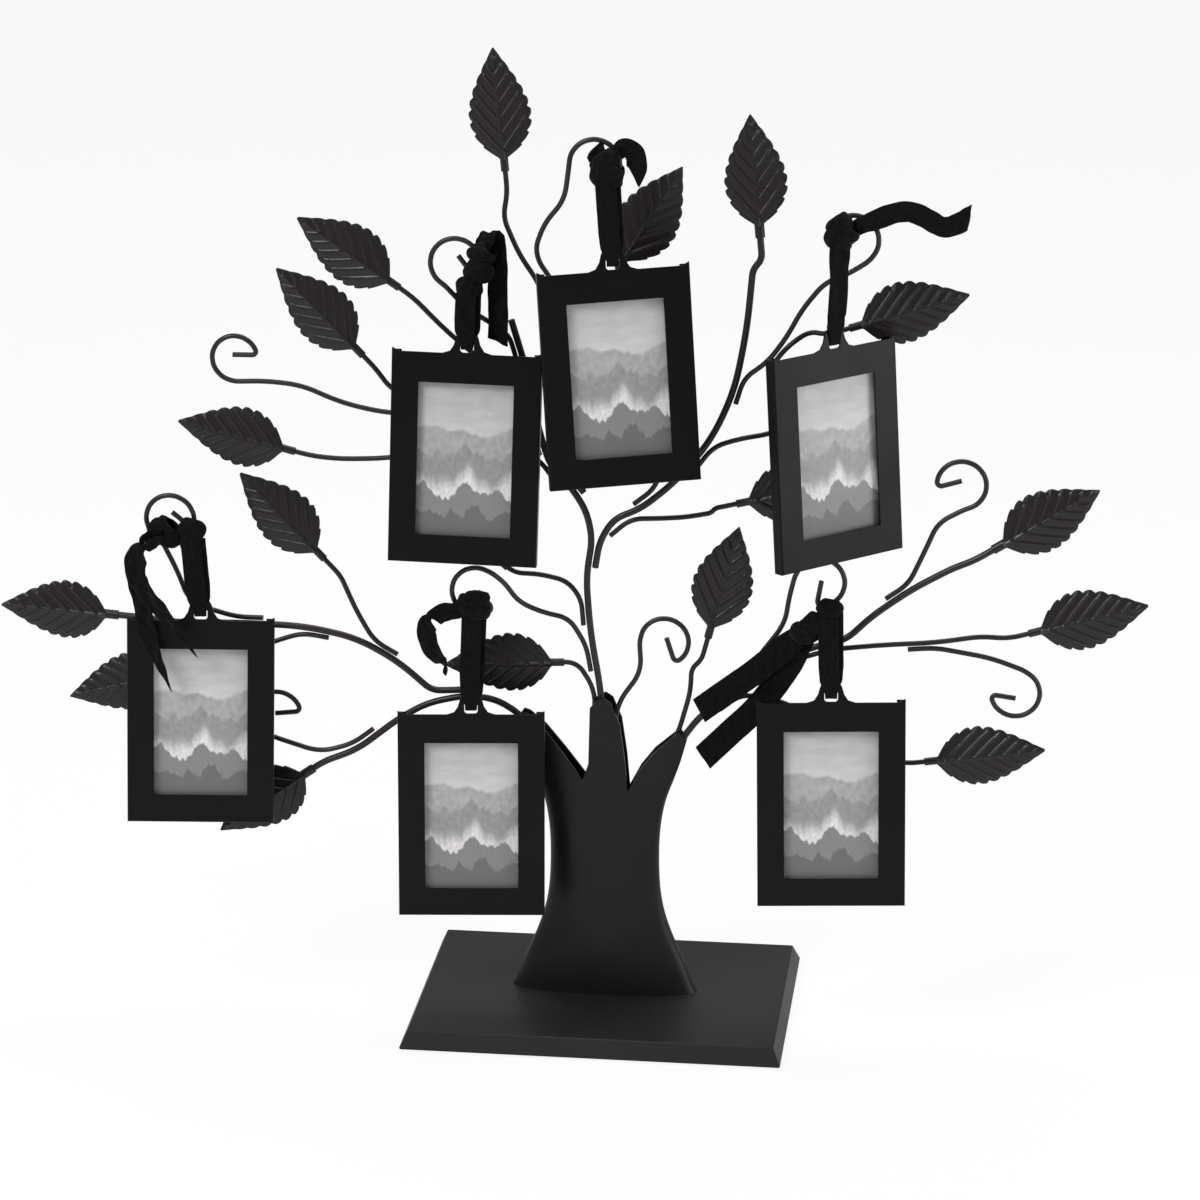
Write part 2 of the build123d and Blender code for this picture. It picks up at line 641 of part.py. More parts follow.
def make_tail(points):
    """Make one free end of a ribbon from flat strips that face the viewer, round where they turn."""
    width = ribbon_width * tail_width_share
    tail = None
    for start, end in zip(points, points[1:]):
        run = end - start
        across = run.cross(toward_viewer).normalized()
        strip_plane = Plane(origin=(start + end) / 2, x_dir=across, z_dir=run.normalized())
        strip = strip_plane * Box(width, ribbon_thickness, run.length)
        tail = strip if tail is None else tail + strip
    for turn in points[1:-1]:
        tail = tail + Pos(turn.X, turn.Y, turn.Z) * Rot(90, 0, 0) * Cylinder(width / 2, ribbon_thickness)
    return tail


def wire_slot(start, end):
    """Make the slot that a straight run of a hook's wire needs in a knot that swings on it."""
    run = end - start
    along = run.normalized()
    across = along.cross(Vector(0, 1, 0)).normalized()
    overrun = twig_diameter + wire_tunnel_gap
    depth = twig_diameter + 2 * wire_tunnel_gap
    plane = Plane(origin=(start + end) / 2, x_dir=across, z_dir=along)
    return plane * Box(slot_width, depth, run.length + 2 * overrun)


def hook_spaces(number):
    """Make the spaces for a hook's ring, for its end bar and for the top of its stem."""
    ring_radius = curl_radius * ring_radius_share
    ring = Plane(origin=hook_centres[number], z_dir=(0, 1, 0)) * Torus(
        ring_radius, twig_diameter / 2 + wire_tunnel_gap)
    curl = hook_curls[number]
    stem_end = crown_points(hook_stem_shares[number])[-1]
    return [ring, wire_slot(curl[-2], curl[-1]), wire_slot(stem_end, curl[0])]


# Each hanging set: the frame's top centre, its turn, tilt, strand top, knots and tails
frame_place_shares = {
    1: (-0.382, 0.074), 2: (-0.124, 0.342), 3: (0.015, 0.430),
    4: (0.217, 0.3596), 5: (-0.123, -0.010), 6: (0.219, 0.016)}
frame_forward_shares = {1: 1.22, 2: 1.11, 3: 1.78, 4: 1.45, 5: 1.22, 6: 1.22}
frame_yaw_angles = {1: 9.5, 2: 1.8, 3: 13.0, 4: 41.0, 5: 7.0, 6: 4.9}
frame_tilt_angles = {1: 1.6, 2: 1.5, 3: -3.0, 4: -1.1, 5: 0.2, 6: -0.9}
strand_top_shares = {
    1: (-0.387, 0.147), 2: (-0.122, 0.392), 3: (0.010, 0.504),
    4: (0.220, 0.4525), 5: (-0.119, 0.083), 6: (0.217, 0.098)}
knot_shares = {
    1: [(-0.389, 0.161, 1.0, 1.0), (-0.414, 0.159, 1.25, 1.15)],
    2: [(-0.122, 0.406, 1.0, 1.0), (-0.111, 0.428, 1.0, 1.05)],
    3: [(0.008, 0.519, 1.15, 1.15)],
    4: [(0.219, 0.466, 1.05, 1.2)],
    5: [(-0.117, 0.098, 1.0, 1.1)],
    6: [(0.216, 0.111, 1.0, 0.9), (0.193, 0.086, 0.95, 1.15)]}
tail_shares = {
    1: [[(-0.420, 0.160, 1.35), (-0.446, 0.131, 1.55), (-0.430, 0.080, 1.80), (-0.415, 0.012, 1.95)],
        [(-0.420, 0.156, 1.60), (-0.440, 0.128, 1.75), (-0.412, 0.092, 1.92), (-0.387, 0.046, 2.00)]],
    2: [[(-0.103, 0.448, 0.70), (-0.0975, 0.352, 0.58)]],
    3: [[(0.010, 0.534, 1.55), (0.027, 0.542, 1.55), (0.036, 0.530, 1.55), (0.030, 0.512, 1.55)]],
    4: [[(0.226, 0.468, 1.1), (0.255, 0.482, 1.1), (0.279, 0.487, 1.1), (0.309, 0.474, 1.1), (0.340, 0.486, 1.05)]],
    5: [[(-0.122, 0.096, 1.15), (-0.150, 0.089, 1.2), (-0.166, 0.068, 1.2), (-0.158, 0.044, 1.15)]],
    6: [[(0.190, 0.080, 0.80), (0.145, 0.040, 0.66), (0.092, -0.004, 0.58)],
        [(0.192, 0.072, 0.72), (0.150, 0.004, 0.62), (0.096, -0.054, 0.56)]]}


def frame_location(number):
    x_share, z_share = frame_place_shares[number]
    origin = crown_point(x_share, z_share, frame_forward_shares[number] * hook_reach)
    turn = Rot(0, 0, frame_yaw_angles[number])
    lean = Rot(frame_lean_angle, 0, 0)
    tilt = Rot(0, frame_tilt_angles[number], 0)
    return Pos(origin.X, origin.Y, origin.Z) * turn * lean * tilt


def loop_location(number):
    """Place a loop upright, with its middle where it passes the top of the leaning tab."""
    x_share, z_share = frame_place_shares[number]
    origin = crown_point(x_share, z_share, frame_forward_shares[number] * hook_reach)
    setback = (tab_hole_lift + tab_hole_height + tab_height) / 2 * math.tan(math.radians(-frame_lean_angle))
    return Pos(origin.X, origin.Y, origin.Z) * Rot(0, 0, frame_yaw_angles[number]) * Pos(0, setback, 0)


def make_frame_loop(number):
    origin = loop_location(number).position
    strand_top = crown_point(*strand_top_shares[number])
    link_foot = tab_hole_lift + tab_hole_height - ribbon_gap - ribbon_thickness
    length = strand_top.Z - origin.Z - link_foot
    offset = strand_top.X - origin.X
    return loop_location(number) * make_loop(offset, length)


def make_frame_knot(number):
    """Make the knot on a hook, with its free tails and a tunnel for the hook's wire."""
    knot_y = frame_location(number).position.Y + knot_depth * knot_set_share
    knot_foot = crown_point(*strand_top_shares[number]).Z + knot_gap
    knot = None
    for x_share, z_share, width_share, height_share in knot_shares[number]:
        centre = crown_point(x_share, z_share)
        centre.Y = knot_y
        if knot is None:
            centre.Z = knot_foot + knot_height * height_share / 2
        lump = knot_lump(centre, width_share, height_share)
        knot = lump if knot is None else knot + lump
    for tail in tail_shares[number]:
        knot = knot + make_tail(crown_points(tail))
    for space in hook_spaces(number):
        knot = one_solid(knot - space)
    return knot


# Write every sub-part
front_shell, rear_shell = make_trunk_shells()
save("base_felt_pad", [make_pad()])
save("base_board", [make_board()])
save("trunk_screws", make_screws())
save("trunk_foot_plate", [make_foot_plate()])
save("trunk_front_shell", [front_shell])
save("trunk_rear_shell", [rear_shell])

limbs = {"limb_middle": limb_middle, "limb_top": limb_top, "limb_right_upper": limb_right_upper,
         "limb_right_lower": limb_right_lower, "limb_left_upper": limb_left_upper,
         "limb_left_lower": limb_left_lower}
for name, path in limbs.items():
    save(name, [round_wire(path, limb_diameter)])

scrolls = {"scroll_left_upper": scroll_left_upper, "scroll_left_lower": scroll_left_lower,
           "scroll_middle": scroll_middle, "scroll_right_upper": scroll_right_upper,
           "scroll_right_lower": scroll_right_lower}
for name, path in scrolls.items():
    save(name, [round_wire(path, twig_diameter)])

for number, path in hook_paths.items():
    save(f"hook_{number}", [round_wire(path, twig_diameter)])

sprigs = {"leaves_middle": middle_sprigs, "leaves_top": top_sprigs, "leaves_right_upper": right_upper_sprigs,
          "leaves_left_upper": left_upper_sprigs, "leaves_left_lower": left_lower_sprigs,
          "leaves_right_lower": right_lower_sprigs}
for name, solids in sprigs.items():
    save(name, solids)

frame_shell = make_frame_shell()
cover = make_cover()
print_and_card = make_print_and_card()
for number in frame_place_shares:
    place = frame_location(number)
    save(f"frame_{number}_shell", [frame_shell.moved(place)])
    save(f"frame_{number}_cover", [cover.moved(place)])
    save(f"frame_{number}_print", [solid.moved(place) for solid in print_and_card])
    save(f"frame_{number}_ribbon_loop", [make_frame_loop(number)])
    save(f"frame_{number}_ribbon_knot", [make_frame_knot(number)])
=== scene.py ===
import math

import bpy
import numpy as np
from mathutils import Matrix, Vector


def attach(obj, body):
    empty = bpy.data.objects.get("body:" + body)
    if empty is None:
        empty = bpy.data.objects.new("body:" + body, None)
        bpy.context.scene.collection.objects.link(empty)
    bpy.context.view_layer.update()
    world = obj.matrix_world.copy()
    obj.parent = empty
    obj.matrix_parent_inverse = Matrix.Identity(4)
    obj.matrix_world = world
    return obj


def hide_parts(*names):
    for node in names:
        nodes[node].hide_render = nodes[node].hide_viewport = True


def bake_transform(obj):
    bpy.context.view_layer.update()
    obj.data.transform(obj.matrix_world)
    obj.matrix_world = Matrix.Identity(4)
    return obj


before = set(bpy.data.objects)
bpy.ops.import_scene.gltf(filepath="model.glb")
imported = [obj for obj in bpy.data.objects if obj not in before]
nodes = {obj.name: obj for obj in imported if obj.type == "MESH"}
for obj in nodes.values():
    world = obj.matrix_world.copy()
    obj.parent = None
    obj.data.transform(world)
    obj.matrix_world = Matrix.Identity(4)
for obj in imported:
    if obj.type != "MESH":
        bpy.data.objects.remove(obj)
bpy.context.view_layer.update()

# The tree and its frames
crown_span = 0.500
trunk_top = 0.161
frame_lean = math.radians(-4.0)
window_height = 0.0725
window_top_border = 0.014
print_width = 0.0508
print_height = 0.0762
print_face_depth = 0.00312

# The ribbons' cloth, and the least flat size that a sheet is given
ribbon_width = 0.0096
ribbon_thickness = 0.0004
ribbon_columns = 17
crease_length = 0.0065

# The strands through each tab, with heights from the frame's top
sheet_metal = 0.0010
gathered_width = 0.0056
link_height = 0.0020
strand_gap = 0.0010
strand_rear_gap = 0.00025
strand_setback = 0.00054
strand_spread = 0.0011
strand_overlap = 0.004
strand_rows = 120
strand_crumple = 0.00030
smooth_height = 0.0105
crease_rise = 0.006
flare_start = 0.0025
flare_rise = 0.0075

# The wraps of the knots
wrap_depth = 0.0046
wrap_depth_step = 0.0003
wrap_setback = 0.0022
wrap_wave = 0.0012
wrap_pinch = 0.4125
wrap_uv_length = 0.03
wrap_rows = 60
wrap_columns = 19

# The free ends
tail_crumple = 0.00042
tail_face_lean = 0.18
tail_start_share = 0.62
tail_rows_per_point = 14

# The leaves
leaf_length = 0.051
leaf_width = 0.028
leaf_sheet = 0.0007
leaf_fold = math.radians(11.0)
leaf_skin = 0.00022
leaf_puff = 0.00028
leaf_edge_cover = 0.0002
leaf_bulge_power = 0.72
leaf_start_share = -0.004
leaf_end_share = 1.006
leaf_base_half = 0.0009
leaf_tip_half = 0.0001
least_leaf_wall = 0.0002
leaf_rows = 120
leaf_columns = 57
stem_clearance = 0.0001
limb_radius = 0.0016
twig_radius = 0.0012

# Their teeth
leaf_tooth_count = 9
tooth_valley_share = 0.12
tooth_crest_share = 1.02
tooth_crest_room = 0.3
tooth_notch_share = 0.90
tooth_round = 0.0006

# Their veins and midribs
leaf_vein_count = 6
leaf_vein_angle = math.radians(42.0)
vein_rate = leaf_vein_count + 1.2
vein_start = 0.55
vein_curve = 0.30
vein_height = 0.00095
vein_spread = 0.00060
edge_fade = 0.0026
rib_fade = 0.0020
rib_height = 0.0008
rib_spread = 0.0008
rib_taper_share = 0.6
rib_back_depth = 0.0006
rib_back_spread = 0.0009

# The camera's angles are in degrees, its lens and sensor in millimetres.
camera_place = (0.2126, -1.7949, 0.7883)
camera_dip = 17.78
camera_swing = 6.83
camera_lens = 120.0
camera_sensor = 36.0
camera_reach = 50.0

# The room and its floor
room_strength = 0.36
floor_reach = 12.0
floor_glow_share = 0.90

# Each leaf: base x and z shares, tip x and z shares, forward of base and tip, and its stem's radius
leaves = {
    "top_left": (-0.093, 0.511, -0.103, 0.620, 0, 0, twig_radius),
    "top_right": (0.019, 0.428, 0.071, 0.514, 0, 0, twig_radius),
    "upper_right": (0.143, 0.455, 0.133, 0.564, 0, 0, limb_radius),
    "upper_left": (-0.201, 0.399, -0.287, 0.458, 0, 0, twig_radius),
    "second_left": (-0.234, 0.333, -0.308, 0.409, 0, 0, twig_radius),
    "third_left": (-0.304, 0.234, -0.406, 0.259, 0, 0, twig_radius),
    "fourth_left": (-0.275, 0.132, -0.348, 0.209, 0, 0, twig_radius),
    "far_left": (-0.468, 0.062, -0.586, 0.070, 0, 0, limb_radius),
    "low_left": (-0.419, 0.006, -0.522, -0.021, 0, 0, twig_radius),
    "lowest_left": (-0.295, -0.094, -0.377, -0.153, 0, 0, limb_radius),
    "inner_left": (-0.052, 0.031, -0.153, 0.026, 0, 0, twig_radius),
    "inner_right": (0.099, 0.064, 0.127, 0.172, 0, 0, twig_radius),
    "middle_right": (0.129, 0.196, 0.235, 0.222, 0, 0, twig_radius),
    "second_right": (0.230, 0.366, 0.335, 0.398, -0.0045, -0.0090, twig_radius),
    "far_right": (0.369, 0.161, 0.461, 0.220, 0, 0, limb_radius),
    "outer_right": (0.406, 0.079, 0.510, 0.110, 0, 0, twig_radius),
    "low_right": (0.310, -0.054, 0.419, -0.037, 0, 0, twig_radius),
    "behind_frame_2": (-0.106, 0.136, -0.178, 0.200, 0, 0, twig_radius),
    "behind_frame_4": (0.176, 0.272, 0.262, 0.310, -0.0054, -0.0144, twig_radius)}

# Each set's frame: its top centre in shares of the crown, how far forward, and its turn and tilt in degrees
frame_places = {
    1: (-0.382, 0.074, 0.02196, 9.5, 1.6),
    2: (-0.124, 0.342, 0.01998, 1.8, 1.5),
    3: (0.015, 0.430, 0.03204, 13.0, -3.0),
    4: (0.217, 0.3596, 0.02610, 41.0, -1.1),
    5: (-0.123, -0.010, 0.02196, 7.0, 0.2),
    6: (0.219, 0.016, 0.02196, 4.9, -0.9)}

# Where each set's strands enter its knot: x and z shares
strand_tops = {
    1: (-0.387, 0.147), 2: (-0.122, 0.392), 3: (0.010, 0.504),
    4: (0.220, 0.4525), 5: (-0.119, 0.083), 6: (0.217, 0.098)}

# Wraps of each knot: x share, z share, half width, height, slant in degrees
knot_wraps = {
    1: [(-0.389, 0.163, 0.0062, 0.0105, 14), (-0.390, 0.153, 0.0053, 0.0078, -18),
        (-0.414, 0.160, 0.0084, 0.0110, 52)],
    2: [(-0.122, 0.404, 0.0060, 0.0100, -12), (-0.113, 0.420, 0.0062, 0.0105, 38),
        (-0.110, 0.436, 0.0055, 0.0095, 64)],
    3: [(0.008, 0.516, 0.0075, 0.0100, 10), (0.007, 0.529, 0.0068, 0.0090, -22),
        (0.012, 0.521, 0.0058, 0.0085, 48)],
    4: [(0.2185, 0.462, 0.0064, 0.0098, 16), (0.219, 0.474, 0.0060, 0.0090, -20),
        (0.224, 0.468, 0.0062, 0.0085, 58)],
    5: [(-0.117, 0.093, 0.0060, 0.0095, -14), (-0.117, 0.104, 0.0058, 0.0085, 24),
        (-0.123, 0.098, 0.0062, 0.0080, 60)],
    6: [(0.216, 0.108, 0.0058, 0.0085, 12), (0.198, 0.090, 0.0064, 0.0100, -32),
        (0.193, 0.084, 0.0062, 0.0095, 46)]}

# Free ends: x share, forward in metres, z share and the width's angle from level, in degrees
tails = {
    1: [[(-0.414, 0.0250, 0.163, 60), (-0.430, 0.0270, 0.156, 62), (-0.442, 0.0290, 0.134, 8),
         (-0.434, 0.0315, 0.098, -18), (-0.426, 0.0335, 0.055, -12), (-0.414, 0.0350, 0.008, -14)],
        [(-0.412, 0.0280, 0.158, 50), (-0.432, 0.0310, 0.146, 48), (-0.436, 0.0325, 0.120, -28),
         (-0.412, 0.0345, 0.086, -38), (-0.386, 0.0360, 0.042, -26)]],
    2: [[(-0.112, 0.0180, 0.424, 40), (-0.108, 0.0165, 0.446, 30), (-0.102, 0.0140, 0.454, 8),
         (-0.0975, 0.0126, 0.440, 2), (-0.0970, 0.0114, 0.396, -2), (-0.0975, 0.0106, 0.346, 0)]],
    3: [[(0.010, 0.0290, 0.528, 60), (0.022, 0.0285, 0.541, 70), (0.033, 0.0280, 0.538, 30),
         (0.035, 0.0280, 0.524, -8), (0.029, 0.0285, 0.510, -14)],
        [(0.004, 0.0290, 0.526, 20), (-0.002, 0.0285, 0.538, 4), (-0.004, 0.0280, 0.548, -4)]],
    4: [[(0.224, 0.0215, 0.466, 70), (0.240, 0.0215, 0.474, 84), (0.257, 0.0208, 0.481, 96),
         (0.279, 0.0195, 0.4865, 88), (0.298, 0.0185, 0.479, 78), (0.314, 0.0185, 0.472, 92),
         (0.330, 0.0190, 0.479, 112), (0.342, 0.0190, 0.486, 120)]],
    5: [[(-0.120, 0.0215, 0.098, 70), (-0.136, 0.0225, 0.094, 84), (-0.152, 0.0225, 0.090, 70),
         (-0.164, 0.0220, 0.077, 30), (-0.163, 0.0215, 0.059, -10), (-0.152, 0.0210, 0.042, -34),
         (-0.143, 0.0205, 0.034, -48)]],
    6: [[(0.196, 0.0160, 0.086, -40), (0.176, 0.0135, 0.066, -46), (0.146, 0.0120, 0.038, -42),
         (0.116, 0.0110, 0.014, -40), (0.091, 0.0105, -0.006, -40)],
        [(0.196, 0.0140, 0.078, -56), (0.178, 0.0125, 0.046, -58), (0.150, 0.0112, 0.004, -50),
         (0.122, 0.0102, -0.026, -46), (0.095, 0.0100, -0.054, -48)]]}

# How wide each set's free ends are, and how much longer one edge is cut
tail_cuts = {
    1: (0.0090, 0.0200), 2: (0.0096, 0.0020), 3: (0.0096, 0.0070),
    4: (0.0100, 0.0100), 5: (0.0096, 0.0050), 6: (0.0122, 0.0020)}


def crown(x_share, z_share, forward):
    """Place a point from shares of the crown's span, and how far it stands forward."""
    return np.array([x_share * crown_span, -forward, trunk_top + z_share * crown_span])


def turn_about(axis, angle):
    """Rotation matrix about X (0), Y (1) or Z (2), by the right-hand rule."""
    c, s = math.cos(angle), math.sin(angle)
    first, second = [(1, 2), (2, 0), (0, 1)][axis]
    matrix = np.eye(3)
    matrix[first, first] = matrix[second, second] = c
    matrix[first, second] = -s
    matrix[second, first] = s
    return matrix


def frame_axes(number):
    """Return a frame's top centre and its axes as columns: right, back and up."""
    x_share, z_share, forward, turn, tilt = frame_places[number]
    turned = turn_about(2, math.radians(turn))
    axes = turned @ turn_about(0, frame_lean) @ turn_about(1, math.radians(tilt))
    return crown(x_share, z_share, forward), axes


def grid_mesh(name, points, closed=False, uv_length=None):
    """Make a mesh from a grid of points (rows, columns, 3), with UVs in metres where uv_length is given."""
    rows, columns, _ = points.shape
    mesh = bpy.data.meshes.new(name)
    row_count = rows if closed else rows - 1
    r, c = np.meshgrid(np.arange(row_count), np.arange(columns - 1), indexing="ij")
    after = (r + 1) % rows
    near, far = r * columns + c, after * columns + c
    quads = np.stack([near, near + 1, far + 1, far], axis=-1)
    mesh.from_pydata(points.reshape(-1, 3).tolist(), [], quads.reshape(-1, 4).tolist())
    u = np.broadcast_to(np.linspace(0, 1, columns), (rows, columns)).reshape(-1)
    v = np.broadcast_to(np.linspace(0, 1, rows)[:, None], (rows, columns)).reshape(-1)
    if uv_length is not None:
        u, v = u * ribbon_width, v * uv_length
    loops = np.zeros(len(mesh.loops), np.int32)
    mesh.loops.foreach_get("vertex_index", loops)
    layer = mesh.uv_layers.new(name="UVMap")
    layer.data.foreach_set("uv", np.stack([u[loops], v[loops]], axis=-1).astype(np.float32).reshape(-1))
    mesh.polygons.foreach_set("use_smooth", np.ones(len(mesh.polygons), bool))
    mesh.update()
    piece = bpy.data.objects.new(name, mesh)
    bpy.context.scene.collection.objects.link(piece)
    return piece


def smooth_line(points, count):
    """Catmull-Rom curve through given rows of numbers, at count even steps of its parameter."""
    points = np.asarray(points, float)
    ends = np.vstack([2 * points[0] - points[1], points, 2 * points[-1] - points[-2]])
    place = np.linspace(0, len(points) - 1 - 1e-9, count)
    i = place.astype(int)
    t = (place - i)[:, None]
    a, b, c, d = ends[i], ends[i + 1], ends[i + 2], ends[i + 3]
    bend = 2 * a - 5 * b + 4 * c - d
    twist = 3 * b - a - 3 * c + d
    return 0.5 * (2 * b + (c - a) * t + bend * t ** 2 + twist * t ** 3)


def thicken(piece):
    """Give a piece of ribbon its thickness, evenly on both its faces."""
    wall = piece.modifiers.new("thickness", "SOLIDIFY")
    wall.thickness = ribbon_thickness
    wall.offset = 0.0


def length_of(line):
    """The length of a line of points, added up from point to point."""
    return float(np.linalg.norm(np.diff(line, axis=0), axis=1).sum())


def ribbon_strip(name, line, across, widths, crumple, seed, slant=0.0):
    """Carry a ribbon's width along a line: point = line + across * width * t + face * ripples(s, t).

    The ripples are sums of sines along (s) and across (t), so the cloth is creased and not flat. The slant
    is how much shorter one edge is than the other.
    """
    along = np.gradient(line, axis=0)
    along /= np.linalg.norm(along, axis=1)[:, None]
    across = across - along * np.sum(across * along, axis=1)[:, None]
    across /= np.linalg.norm(across, axis=1)[:, None]
    face = np.cross(along, across)
    t = np.linspace(-0.5, 0.5, ribbon_columns)
    s = np.linspace(0, 1, len(line))[:, None]
    length = length_of(line)
    waves = length / crease_length
    ripple = (np.sin(2 * np.pi * (0.5 * waves * s + 1.1 * t[None, :]) + seed)
              + 0.6 * np.sin(2 * np.pi * (waves * s - 1.6 * t[None, :]) + 2.3 * seed)
              + 0.7 * np.cos(2 * np.pi * 1.1 * t[None, :] + 3.0 * s + seed))
    points = (line[:, None, :] + across[:, None, :] * (widths[:, None] * t[None, :])[..., None]
              + face[:, None, :] * (crumple * ripple)[..., None])
    for column in range(len(t)):
        reach = s[:, 0] * (1 - slant / length * (0.5 - t[column]))
        edge = points[:, column].copy()
        for axis in range(3):
            points[:, column, axis] = np.interp(reach, s[:, 0], edge[:, axis])
    piece = grid_mesh(name, points, uv_length=length)
    thicken(piece)
    return piece


def make_tail(number, index, rows):
    """A ribbon's free end: its line passes the listed points and its width turns by their angles."""
    points = [list(crown(x, z, forward)) + [math.radians(angle)] for x, forward, z, angle in rows]
    line = smooth_line(points, tail_rows_per_point * len(rows))
    angle = line[:, 3]
    across = np.stack([np.cos(angle), np.full(len(angle), -tail_face_lean), np.sin(angle)], axis=-1)
    share = np.linspace(0, 1, len(line))
    width, slant = tail_cuts[number]
    widths = width * (tail_start_share + (1 - tail_start_share) * np.clip(share * 4, 0, 1))
    name = f"ribbon_{number}_tail_{index}"
    return ribbon_strip(name, line[:, :3], across, widths, tail_crumple, number + index, slant)


def make_wrap(number, index, row):
    """A wrap of a knot: an ellipse round the hook's wire, (half width cos a, depth sin a) * pinch * lumps.

    The pinch is 1 - share |2 t|^3 across the width (t), which rolls the edges in, and the lumps are sines of
    a and t. The whole wrap is then slanted.
    """
    x_share, z_share, half_width, height, slant = row
    centre = crown(x_share, z_share, frame_places[number][2] - wrap_setback)
    angle = np.linspace(0, 2 * np.pi, wrap_rows, endpoint=False)[:, None]
    t = np.linspace(-0.5, 0.5, wrap_columns)[None, :]
    depth = wrap_depth + wrap_depth_step * index
    pinch = 1 - wrap_pinch * np.abs(2 * t) ** 3.0
    lump = (1 + 0.07 * np.sin(3 * angle + number + 4 * t)
            + 0.05 * np.sin(7 * angle + 2 * index + 9 * t))
    x = half_width * np.cos(angle) * pinch * lump
    y = -depth * np.sin(angle) * pinch * lump
    z = height * t + wrap_wave * np.sin(angle + index)
    tilt = turn_about(1, math.radians(slant))
    points = np.stack([x, y, z], axis=-1) @ tilt.T + centre
    piece = grid_mesh(f"ribbon_{number}_wrap_{index}", points, closed=True, uv_length=wrap_uv_length)
    thicken(piece)
    return piece


def make_strands(number):
    """The loop through the tab: down the back, under the tab's bridge and up the front, gathered at the hole.

    Its line is a smooth curve through the profile's points, turned with the frame and shifted towards its
    knot as it rises. Each point of the profile is how far back of the tab's front face, and how high.
    """
    x_share, z_share, forward, turn, _ = frame_places[number]
    origin = crown(x_share, z_share, forward)
    top_x, top_z = strand_tops[number]
    top = crown(top_x, top_z, forward)
    height = top[2] - origin[2] + strand_overlap
    shift = top[0] - origin[0]
    front, rear = -strand_gap, sheet_metal + strand_rear_gap
    profile = [(0.0003, height), (0.0004, height * 0.75), (0.0005, 0.0180), (0.0008, 0.0130),
               (rear, 0.0090), (rear, 0.0046), (sheet_metal * 0.5, link_height), (front, 0.0046),
               (front, 0.0080), (front - 0.0005, 0.0130),
               (front - 0.0010, height * 0.6), (front + 0.0003, height)]
    line = smooth_line(profile, strand_rows)
    share_up = np.clip((line[:, 1] - link_height) / (height - link_height), 0, 1)
    local = np.stack([shift * share_up, line[:, 0] + strand_setback, line[:, 1]], axis=-1)
    turn_matrix = turn_about(2, math.radians(turn))
    world = local @ turn_matrix.T + origin
    world[:, 0] += shift * share_up * (1 - math.cos(math.radians(turn)))
    side = np.where(np.arange(len(line)) < len(line) / 2, 1.0, -1.0)
    world[:, 0] += side * strand_spread * np.clip(share_up * 2.5, 0, 1)
    flare = np.clip((line[:, 1] - link_height - flare_start) / flare_rise, 0, 1)
    widths = gathered_width + (ribbon_width - gathered_width) * flare * flare * (3 - 2 * flare)
    across = np.broadcast_to(turn_matrix @ np.array([1.0, 0, 0]), world.shape).copy()
    creased = np.clip((line[:, 1] - smooth_height) / crease_rise, 0, 1)
    crumple = strand_crumple * (0.1 + 0.9 * creased)[:, None]
    piece = ribbon_strip(f"ribbon_{number}_strands", world, across, widths, crumple, 0.7 * number)
    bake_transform(piece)
    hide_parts(f"frame_{number}_ribbon_loop")
    return piece


def leaf_bulge(share):
    """Half a leaf's width at a share of its length, without teeth: half width * sin(pi share^power)."""
    return leaf_width / 2 * np.sin(np.pi * np.clip(share, 0, 1) ** leaf_bulge_power)


def leaf_outline():
    """Stations along a leaf and its half width there: the bulge with forward-leaning, rounded teeth."""
    teeth = np.arange(leaf_tooth_count)
    valleys = (teeth + tooth_valley_share) / leaf_tooth_count
    crests = (teeth + tooth_crest_share) / (leaf_tooth_count + tooth_crest_room)
    corners = np.stack([valleys, crests], axis=-1).reshape(-1)
    widths = np.stack([leaf_bulge(valleys) * tooth_notch_share, leaf_bulge(crests)], axis=-1)
    widths = widths.reshape(-1) + leaf_sheet / 2
    corners = np.concatenate([[leaf_start_share], corners, [leaf_end_share]])
    widths = np.concatenate([[leaf_base_half], widths, [leaf_tip_half]])
    even = np.linspace(leaf_start_share, leaf_end_share, leaf_rows)
    share = np.unique(np.concatenate([even, corners]))
    tooth = np.clip(np.searchsorted(valleys, share, side="right") - 1, 0, leaf_tooth_count - 1)
    along = np.clip((share - valleys[tooth]) / (crests[tooth] - valleys[tooth]), 0, 1)
    round_out = tooth_round * np.sin(np.pi * along) * leaf_bulge(share) / (leaf_width / 2)
    return share, np.interp(share, corners, widths) + leaf_edge_cover + round_out


